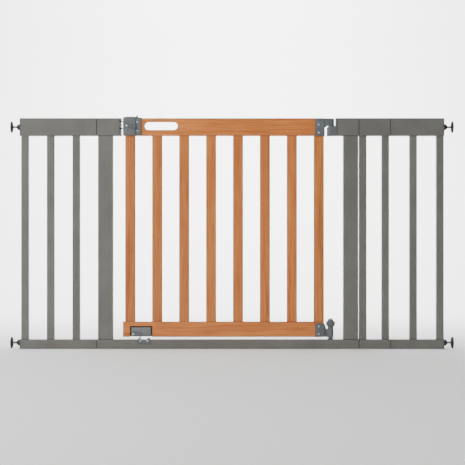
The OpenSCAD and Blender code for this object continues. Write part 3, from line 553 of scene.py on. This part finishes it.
# %% The slats
slat_low, slat_high = (Vector(p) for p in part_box("door_slat_1"))
SLAT_COUNT = 8
last_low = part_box("door_slat_8")[0]
SLAT = {"Count": SLAT_COUNT,
        "Pitch": (last_low[0] - slat_low[0]) / (SLAT_COUNT - 1),
        "Width": slat_high[0] - slat_low[0],
        "Thickness": slat_high[1] - slat_low[1],
        "Rounding": 2.5 * MM,
        "Foot": ((slat_low[0] + slat_high[0]) / 2, 0.0, high[2] - 1 * MM),
        "Height": rail_low[2] - high[2] + 2 * MM,
        "Finish": WOOD_SLAT}
tree, given, ids = geometry_tree("slats_in_a_row", **SLAT)
give = given.outputs
outline = add(tree, "GeometryNodeCurvePrimitiveQuadrilateral", {"Width": give["Width"],
                                                                "Height": give["Thickness"]})
soft_outline = add(tree, "GeometryNodeFilletCurve", {"Curve": outline.outputs[0],
                                                     "Radius": give["Rounding"],
                                                     "Count": 5, "Limit Radius": True}, mode="POLY")
top_end = add(tree, "ShaderNodeCombineXYZ", {2: give["Height"]})
line = add(tree, "GeometryNodeCurvePrimitiveLine", {"End": top_end.outputs[0]})
parts = add(tree, "GeometryNodeResampleCurve", {"Curve": line.outputs[0], "Count": 12})
slat = add(tree, "GeometryNodeCurveToMesh", {"Curve": parts.outputs[0],
                                             "Profile Curve": soft_outline.outputs[0],
                                             "Fill Caps": True})
step = add(tree, "ShaderNodeCombineXYZ", {0: give["Pitch"]})
row = add(tree, "GeometryNodeMeshLine", {"Count": give["Count"], "Start Location": give["Foot"],
                                         "Offset": step.outputs[0]}, mode="OFFSET")
copies = add(tree, "GeometryNodeInstanceOnPoints", {"Points": row.outputs[0], "Instance": slat.outputs[0]})
number = add(tree, "GeometryNodeInputIndex")
numbered = add(tree, "GeometryNodeStoreNamedAttribute", {"Geometry": copies.outputs[0], "Name": "board",
                                                         "Value": number.outputs[0]},
               data_type="FLOAT", domain="INSTANCE")
real = add(tree, "GeometryNodeRealizeInstances", {"Geometry": numbered.outputs[0]})
finished = add(tree, "GeometryNodeSetMaterial", {"Geometry": real.outputs[0], "Material": give["Finish"]})
add(tree, "NodeGroupOutput", {0: finished.outputs[0]})
slats = grow("door_slats", tree, ids, SLAT)
shade(slats)
stand_for(slats, "door", "stained_wood", *[f"door_slat_{i}" for i in range(1, 9)])
print("slats:", len(slats.data.polygons), "faces, box", [round(v, 4) for v in slats.bound_box[0]])

# %% [markdown]
# ## Screws and rivets
#
# The fittings are held by pan-head screws with a cross recess, and the levers turn on domed rivets.
# One head of each kind is turned as a mesh; a tree sets a copy on each place where the engineering
# model has one, and spins each screw to its own angle, because no two are driven home alike.


# %% Turn one head of each kind
CROSS_WIDTH, CROSS_REACH = 0.13, 0.62  # half width and reach of the recess, as shares of the radius


def head(name, radius, height, recess):
    """A dome on the XY plane, rising to +Z; recess is the depth of its cross, or 0 for none."""
    bm = bmesh.new()
    around, rings = 40, 14
    top = bm.verts.new((0, 0, height - recess))
    previous = None
    for i in range(1, rings + 1):
        share = i / rings
        r = radius * share
        z = height * math.sqrt(max(0.0, 1 - (share * 0.94) ** 2.6))
        ring = []
        for k in range(around):
            a = 2 * math.pi * k / around
            x, y = r * math.cos(a), r * math.sin(a)
            narrow, far = sorted((abs(x), abs(y)))
            in_cross = narrow < CROSS_WIDTH * radius and far < CROSS_REACH * radius
            ring.append(bm.verts.new((x, y, z - (recess if in_cross else 0.0))))
        for k in range(around):
            if previous:
                bm.faces.new((previous[k], ring[k], ring[(k + 1) % around], previous[(k + 1) % around]))
            else:
                bm.faces.new((top, ring[k], ring[(k + 1) % around]))
        previous = ring
    foot = [bm.verts.new((v.co.x, v.co.y, 0)) for v in previous]
    for k in range(around):
        bm.faces.new((previous[k], foot[k], foot[(k + 1) % around], previous[(k + 1) % around]))
    bm.faces.new(list(reversed(foot)))
    return object_from(bm, name)


SCREW_RISE, CATCH_SCREW_RISE, RIVET_RISE = 1.6 * MM, 1.4 * MM, 1.6 * MM
FULL_TURN = 6.283
screw_head = head("screw_head", 3.0 * MM, SCREW_RISE, 0.7 * MM)
rivet_head = head("rivet_head", 3.6 * MM, RIVET_RISE, 0.0)

# %% Set them in place
tree, given, ids = geometry_tree("heads_on_points", Head=screw_head, Seed=1, Turn=FULL_TURN,
                                 Finish=NICKEL)
give = given.outputs
part = add(tree, "GeometryNodeObjectInfo", {"Object": give["Head"]})
spin = add(tree, "FunctionNodeRandomValue", {"Seed": give["Seed"], 3: give["Turn"]}, data_type="FLOAT")
tilt = add(tree, "ShaderNodeCombineXYZ", {0: math.pi / 2, 1: spin.outputs[1]})
copies = add(tree, "GeometryNodeInstanceOnPoints", {"Points": give["Geometry"],
                                                    "Instance": part.outputs["Geometry"]})
facing = add(tree, "FunctionNodeEulerToRotation", {0: tilt.outputs[0]})
turned = add(tree, "GeometryNodeRotateInstances", {0: copies.outputs[0], 2: facing.outputs[0]})
real = add(tree, "GeometryNodeRealizeInstances", {"Geometry": turned.outputs[0]})
finished = add(tree, "GeometryNodeSetMaterial", {"Geometry": real.outputs[0], "Material": give["Finish"]})
add(tree, "NodeGroupOutput", {0: finished.outputs[0]})


def heads_at(name, places, shape, seed, body, node):
    base = bpy.data.meshes.new(name + "_points")
    base.from_pydata(places, [], [])
    values = {"Head": shape, "Seed": seed, "Turn": FULL_TURN, "Finish": NICKEL}
    piece = grow(name, tree, ids, values, base)
    shade(piece, 50)
    stand_for(piece, body, "bright_steel", node)
    return piece


def islands(node):
    """The middle of each separate solid in a node, and its lowest y."""
    bm = bmesh.new()
    bm.from_mesh(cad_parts[node].data)
    bmesh.ops.remove_doubles(bm, verts=bm.verts, dist=SAME_POINT)
    left, found = set(bm.verts), []
    while left:
        group, queue = set(), [left.pop()]
        while queue:
            vert = queue.pop()
            group.add(vert)
            near = {edge.other_vert(vert) for edge in vert.link_edges} - group
            queue.extend(near & left)
            left -= near
        xs, ys, zs = zip(*(v.co for v in group))
        found.append(((min(xs) + max(xs)) / 2, min(ys), (min(zs) + max(zs)) / 2))
    bm.free()
    return sorted(found)


def seats(node, head_height):
    return [(x, y + head_height, z) for x, y, z in islands(node)]


heads_at("door_screw_heads", seats("door_screws", SCREW_RISE), screw_head, 3, "door", "door_screws")
heads_at("catch_screw_heads", seats("catch_screws", CATCH_SCREW_RISE), screw_head, 5, "frame",
         "catch_screws")
heads_at("lever_rivet_heads", seats("lever_rivets", RIVET_RISE), rivet_head, 7, "door", "lever_rivets")
for spare in (screw_head, rivet_head):
    bpy.data.objects.remove(spare)
print("screws at", [tuple(round(v, 3) for v in p) for p in seats("door_screws", 0)])

# %% [markdown]
# ## Threads and springs
#
# A rolled thread is a ridge wound round a rod, and a spring is a wire wound round nothing, so one
# tree makes both: a spiral of given radius, turns and length, with a small profile swept along it.
# For the thread the profile is a square standing on its corner, which gives the V of a real thread.
# The latch spring stands against the housing.


# %% A tree that winds
WIND = {"Turns": 8.0, "Radius": 6 * MM, "Length": 20 * MM, "Wire": 1 * MM, "Sides": 8,
        "Steps": 24, "Finish": NICKEL}
wind, given, wind_ids = geometry_tree("wound_wire", **WIND)
give = given.outputs
spiral = add(wind, "GeometryNodeCurveSpiral", {"Resolution": give["Steps"], "Rotations": give["Turns"],
                                               "Start Radius": give["Radius"],
                                               "End Radius": give["Radius"],
                                               "Height": give["Length"]})
ring = add(wind, "GeometryNodeCurvePrimitiveCircle", {"Resolution": give["Sides"],
                                                      "Radius": give["Wire"]}, mode="RADIUS")
wound = add(wind, "GeometryNodeCurveToMesh", {"Curve": spiral.outputs[0], "Profile Curve": ring.outputs[0],
                                              "Fill Caps": True})
real = add(wind, "GeometryNodeRealizeInstances", {"Geometry": wound.outputs[0]})
finished = add(wind, "GeometryNodeSetMaterial", {"Geometry": real.outputs[0], "Material": give["Finish"]})
add(wind, "NodeGroupOutput", {0: finished.outputs[0]})


def wound_along(name, start, axis, values):
    """A wound wire that starts at a point and runs along a unit axis."""
    piece = grow(name, wind, wind_ids, values)
    aim = Vector((0, 0, 1)).rotation_difference(Vector(axis)).to_matrix().to_4x4()
    piece.data.transform(Matrix.Translation(start) @ aim)
    return piece


# %% The two springs
CLOSING_WIRE, LATCH_WIRE = 0.7 * MM, 0.6 * MM
low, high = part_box("closing_spring")
middle = centre("closing_spring")
closing = wound_along("closing_spring_wire", (middle.x, middle.y, low[2] + CLOSING_WIRE), (0, 0, 1),
                      {**WIND, "Turns": 8.0, "Radius": (high[0] - low[0]) / 2 - CLOSING_WIRE,
                       "Length": high[2] - low[2] - 2 * CLOSING_WIRE, "Wire": CLOSING_WIRE})
shade(closing, 60)
stand_for(closing, "frame", "bright_steel", "closing_spring")
low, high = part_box("latch_spring")
middle = centre("latch_spring")
returner = wound_along("latch_spring_wire", (low[0] + LATCH_WIRE, middle.y, middle.z), (1, 0, 0),
                       {**WIND, "Turns": 6.0, "Radius": (high[2] - low[2]) / 2 - LATCH_WIRE,
                        "Length": high[0] - low[0] - 2 * LATCH_WIRE, "Wire": LATCH_WIRE})
shade(returner, 60)
stand_for(returner, "door", "bright_steel", "latch_spring")
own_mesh(returner)
print("springs:", len(closing.data.polygons) + len(returner.data.polygons), "faces")

# %% [markdown]
# ## Turned pieces
#
# Pads, hand nuts and the tension knob are round. Each is a profile of radius against length, turned
# about an axis; for a grip, the radius dips in a ring of flutes, as deep as the profile says at that
# height. The same function makes all of them, and the rod under a spindle's thread.


# %% A lathe with flutes
def turned(bm, profile, around, flutes=0, start=(0, 0, 0), axis=(0, 0, 1)):
    """profile lists (along, radius, flute depth) in metres; ends at radius 0 are closed to a point."""
    aim = Vector((0, 0, 1)).rotation_difference(Vector(axis)).to_matrix().to_4x4()
    place = Matrix.Translation(start) @ aim
    rings = []
    for along, radius, depth in profile:
        if radius < 0.001 * MM:
            rings.append([bm.verts.new(place @ Vector((0, 0, along)))])
            continue
        ring = []
        for k in range(around):
            a = 2 * math.pi * k / around
            dip = depth * max(0.0, math.cos(flutes * a)) ** 1.5
            r = radius - dip
            ring.append(bm.verts.new(place @ Vector((r * math.cos(a), r * math.sin(a), along))))
        rings.append(ring)
    for first, second in zip(rings, rings[1:]):
        for k in range(around):
            n = (k + 1) % around
            corners = [first[k % len(first)], first[n % len(first)], second[n % len(second)],
                       second[k % len(second)]]
            unique = list(dict.fromkeys(corners))
            if len(unique) > 2:
                bm.faces.new(unique)


def rounded(along, radius, cut, steps=4):
    """Points that round the outer corner of a turned piece by cut."""
    angles = [math.pi / 2 * i / steps for i in range(steps + 1)]
    return [(along - cut + cut * math.sin(a), radius - cut + cut * math.cos(a), 0) for a in angles]


# %% Wall pads, spindles and hand nuts
PAD_HUB, RIB_COUNT, RIB_DEPTH = 8 * MM, 5, 0.7 * MM
THREAD_PITCH, THREAD_CREST, THREAD_INSET, THREAD_CUT = 2.5 * MM, 0.55 * MM, 2 * MM, 10 * MM
NUT_RADIUS, NUT_FLUTE, NUT_BORE_GAP = 10.3 * MM, 1.1 * MM, 0.3 * MM
CORNERS = ["left_top", "left_bottom", "right_top", "right_bottom"]
for corner in CORNERS:
    side = -1 if corner.startswith("left") else 1
    axis = (side, 0, 0)
    pad_low, pad_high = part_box("wall_pad_" + corner)
    nut_low, nut_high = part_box("hand_nut_" + corner)
    rod_low, rod_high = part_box("spindle_" + corner)
    middle = centre("wall_pad_" + corner)
    near = (min if side > 0 else max)
    pad_start = (near(pad_low[0], pad_high[0]), 0, middle.z)
    pad_t = pad_high[0] - pad_low[0]
    pad_r = (pad_high[2] - pad_low[2]) / 2

    bm = bmesh.new()
    body = [(0, 0, 0), (0, PAD_HUB - 0.6 * MM, 0), (0.3 * MM, PAD_HUB, 0), (1.7 * MM, pad_r - 3.9 * MM, 0),
            (2.3 * MM, pad_r - 2.3 * MM, 0), (3.2 * MM, pad_r - 1.0 * MM, 0), (4.2 * MM, pad_r, 0)]
    body += rounded(pad_t, pad_r, 2.2 * MM)
    ribs = []
    for i in range(RIB_COUNT):
        r = pad_r - 3.2 * MM - i * 2.6 * MM
        ribs += [(pad_t, r, 0), (pad_t - RIB_DEPTH, r - 0.5 * MM, 0),
                 (pad_t - RIB_DEPTH, r - 1.1 * MM, 0), (pad_t, r - 1.6 * MM, 0)]
    turned(bm, body + ribs + [(pad_t, 0, 0)], 64, 0, pad_start, axis)
    pad = object_from(bm, "rubber_pad_" + corner, RUBBER)
    shade(pad, 40)
    stand_for(pad, "spindle_" + corner, "pad_rubber", "wall_pad_" + corner)

    inner = rod_low[0] if side > 0 else rod_high[0]
    rod_r = (rod_high[2] - rod_low[2]) / 2
    rod_l = rod_high[0] - rod_low[0]
    bm = bmesh.new()
    core = [(0, 0, 0), (0, rod_r - 1.2 * MM, 0), (0.8 * MM, rod_r - THREAD_CREST, 0),
            (rod_l - 1.5 * MM, rod_r - THREAD_CREST, 0), (rod_l - 1.5 * MM, 0, 0)]
    turned(bm, core, 32, 0, (inner, 0, middle.z), axis)
    rod = object_from(bm, "spindle_core_" + corner, ZINC)
    shade(rod, 40)
    thread_l = rod_l - THREAD_CUT
    thread = wound_along("spindle_thread_" + corner, (inner + side * THREAD_INSET, 0, middle.z), axis,
                         {**WIND, "Turns": thread_l / THREAD_PITCH, "Radius": rod_r - THREAD_CREST,
                          "Length": thread_l, "Wire": THREAD_CREST, "Sides": 4, "Finish": ZINC})
    shade(thread, 20)
    for piece in (rod, thread):
        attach(piece, "spindle_" + corner)
    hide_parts("spindle_" + corner)
    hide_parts("spindle_" + corner)

    nut_start = (nut_low[0] if side > 0 else nut_high[0], 0, middle.z)
    nut_l = nut_high[0] - nut_low[0]
    nut_r, grip = NUT_RADIUS, NUT_FLUTE
    bore = rod_r + NUT_BORE_GAP
    bm = bmesh.new()
    shape = [(0.0, bore, 0), (0.0, nut_r - 0.8 * MM, grip * 0.5), (0.3 * MM, nut_r - 0.2 * MM, grip),
             (0.9 * MM, nut_r, grip), (0.57 * nut_l, nut_r, grip), (0.63 * nut_l, nut_r - 0.5 * MM, grip),
             (0.68 * nut_l, nut_r - 1.2 * MM, grip * 0.5), (0.80 * nut_l, nut_r - 2.7 * MM, 0),
             (0.97 * nut_l, 5.9 * MM, 0), (nut_l, 5.4 * MM, 0), (nut_l, bore, 0), (0.0, bore, 0)]
    turned(bm, shape, 96, 8, nut_start, axis)
    bmesh.ops.remove_doubles(bm, verts=bm.verts, dist=SAME_POINT)
    nut = object_from(bm, "hand_nut_grip_" + corner, BLACK_NYLON)
    shade(nut, 40)
    stand_for(nut, "nut_" + corner, "black_nylon", "hand_nut_" + corner)
print("wall fixings:", len(CORNERS), "sets; a pad has", len(pad.data.polygons), "faces, a thread",
      len(thread.data.polygons))

# %% The tension knob
low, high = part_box("hinge_tension_knob")
middle = centre("hinge_tension_knob")
knob_r = (high[0] - low[0]) / 2
body_h, step_h, total_h = 15.5 * MM, 22.5 * MM, high[2] - low[2]
bore, flute = 3.2 * MM, 1.5 * MM
bm = bmesh.new()
shape = [(0, bore, 0), (0, knob_r - 1.2 * MM, flute * 0.6), (0.5 * MM, knob_r - 0.3 * MM, flute),
         (1.3 * MM, knob_r, flute), (body_h - 2.2 * MM, knob_r, flute),
         (body_h - 1.0 * MM, knob_r - 0.5 * MM, flute * 0.9), (body_h, knob_r - 2.0 * MM, flute * 0.4),
         (body_h, 10.2 * MM, 0), (body_h + 0.4 * MM, 9.5 * MM, 0), (step_h - 1.4 * MM, 9.3 * MM, 0),
         (step_h - 0.4 * MM, 8.8 * MM, 0), (step_h, 7.8 * MM, 0), (step_h, 2.9 * MM, 0),
         (step_h + 0.3 * MM, 2.5 * MM, 0), (total_h - 0.6 * MM, 2.5 * MM, 0), (total_h, 1.9 * MM, 0),
         (total_h, 0, 0)]
turned(bm, shape, 120, 12, (middle.x, middle.y, low[2]), (0, 0, 1))
knob = object_from(bm, "tension_knob_grip", CASTING)
face_outwards(knob)
shade(knob, 40)
stand_for(knob, "tension_knob", "coated_casting", "hinge_tension_knob")
print("knob:", len(knob.data.polygons), "faces")

# %% [markdown]
# ## Studio
#
# The gate stands on a pale, seamless sweep: a floor that curves up into a back wall, so no
# horizon shows. A large soft light from the left and above gives the steel its gentle left-to-
# right fall-off, a weaker one fills from the right, a third lights the back wall, and the pale
# surroundings keep shadows open. The wall stays a little under white, because a brighter one eats
# into thin outlines. The camera stands square on, four metres back with a long lens, so the bars
# stay parallel.


# %% Sweep, lights and camera
def sweep(width, front, back, height, radius, drop):
    profile = [(front, 0)] + [(back - radius + radius * math.sin(a), radius - radius * math.cos(a))
                              for a in [math.pi / 2 * i / 24 for i in range(25)]] + [(back, height)]
    bm = bmesh.new()
    pairs = [[bm.verts.new((x, y, z - drop)) for x in (-width / 2, width / 2)] for y, z in profile]
    for (a, b), (c, d) in zip(pairs, pairs[1:]):
        bm.faces.new((a, b, d, c))
    paper = new_material("matt_white_paper", Base_Color=linear("#fbfbfa"), Roughness=0.9)[0]
    piece = object_from(bm, "paper_sweep", paper)
    piece.data.shade_smooth()
    return piece


sweep(14.0, -6.0, 3.2, 5.0, 1.6, 0.3 * MM)


def soft_light(name, place, target, size, power, spread_angle=180):
    light = bpy.data.lights.new(name, "AREA")
    light.spread = math.radians(spread_angle)
    light.shape = "RECTANGLE"
    light.size, light.size_y = size
    light.energy = power
    lamp = bpy.data.objects.new(name, light)
    lamp.location = place
    lamp.rotation_euler = (Vector(target) - Vector(place)).to_track_quat("-Z", "Y").to_euler()
    bpy.context.collection.objects.link(lamp)


aim = (0, 0, 0.38)
soft_light("key", (-2.6, -2.2, 2.2), aim, (1.6, 1.2), 128)
soft_light("fill", (2.6, -2.8, 1.4), aim, (2.0, 2.0), 9)
soft_light("backdrop", (0, 1.1, 3.0), (0, 3.2, 0.5), (2.8, 0.8), 270, 130)

world = bpy.data.worlds.new("white_studio")
world.use_nodes = True
world.node_tree.nodes["Background"].inputs["Color"].default_value = (1, 1, 1, 1)
world.node_tree.nodes["Background"].inputs["Strength"].default_value = 0.48
bpy.context.scene.world = world

DISTANCE, VIEW_WIDTH = 4.0, 1.539
camera_data = bpy.data.cameras.new("camera")
camera_data.sensor_width = 36
camera_data.lens = camera_data.sensor_width * DISTANCE / VIEW_WIDTH
camera = bpy.data.objects.new("camera", camera_data)
camera.location = (0.0016, -DISTANCE, 0.384)
camera.rotation_euler = (math.pi / 2, 0, 0)
bpy.context.collection.objects.link(camera)
bpy.context.scene.camera = camera
print("lens", round(camera_data.lens, 1), "mm")
